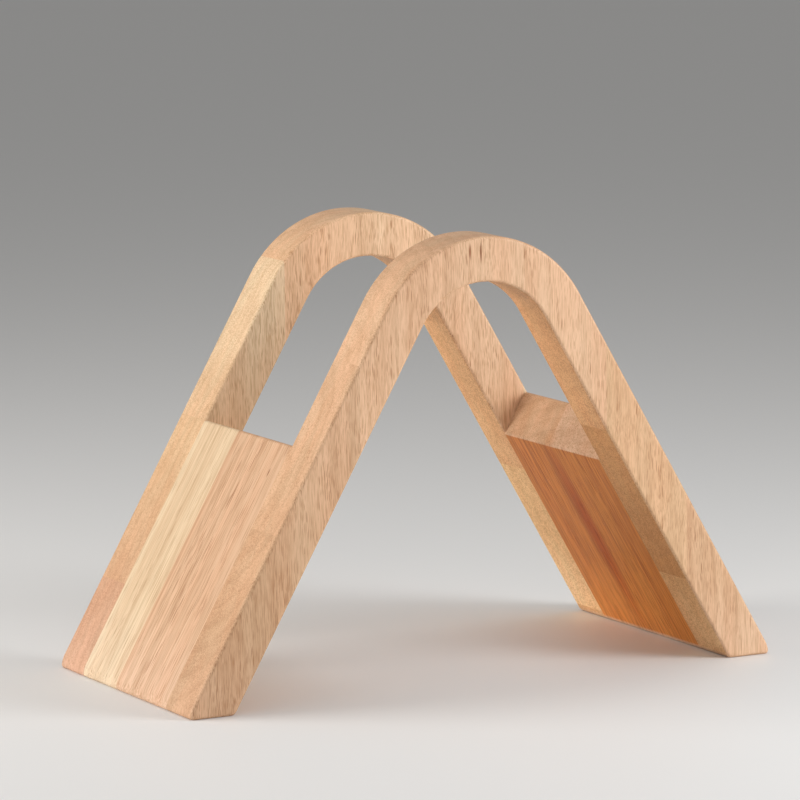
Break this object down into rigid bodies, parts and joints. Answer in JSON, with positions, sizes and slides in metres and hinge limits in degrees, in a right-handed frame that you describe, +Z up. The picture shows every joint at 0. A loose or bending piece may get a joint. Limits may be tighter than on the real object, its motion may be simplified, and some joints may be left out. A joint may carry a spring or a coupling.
{
  "type": "book end",
  "caption": "Wooden book end shaped like a wide letter A: parallel round-topped arch frames of edge-glued staves, joined by sloping side panels, open beneath and between the arches.",
  "frame": {"origin": "on the ground, at the middle of the base rectangle", "axes": "+Z up; +X across the A, from one pair of feet to the other; +Y from the front frame to the back frame"},
  "size_m": [0.2906, 0.137, 0.2],
  "materials": {
    "frame_wood": "clear satin lacquer over sanded light hardwood",
    "panel_wood": "clear satin lacquer over sanded light hardwood",
    "dowel_wood": "bare turned hardwood"
  },
  "bodies": {
    "root": {"back_frame_stave_1": "frame_wood", "back_frame_stave_2": "frame_wood", "back_frame_stave_3": "frame_wood", "back_frame_stave_4": "frame_wood", "back_frame_stave_5": "frame_wood", "back_frame_stave_6": "frame_wood", "back_frame_stave_7": "frame_wood", "back_frame_stave_8": "frame_wood", "front_frame_stave_1": "frame_wood", "front_frame_stave_2": "frame_wood", "front_frame_stave_3": "frame_wood", "front_frame_stave_4": "frame_wood", "front_frame_stave_5": "frame_wood", "front_frame_stave_6": "frame_wood", "front_frame_stave_7": "frame_wood", "left_back_lower_dowel": "dowel_wood", "left_back_upper_dowel": "dowel_wood", "left_front_lower_dowel": "dowel_wood", "left_front_upper_dowel": "dowel_wood", "left_panel_front_stave": "panel_wood", "left_panel_rear_stave": "panel_wood", "right_back_lower_dowel": "dowel_wood", "right_back_upper_dowel": "dowel_wood", "right_front_lower_dowel": "dowel_wood", "right_front_upper_dowel": "dowel_wood", "right_panel_front_stave": "panel_wood", "right_panel_rear_stave": "panel_wood"}
  },
  "joints": []
}
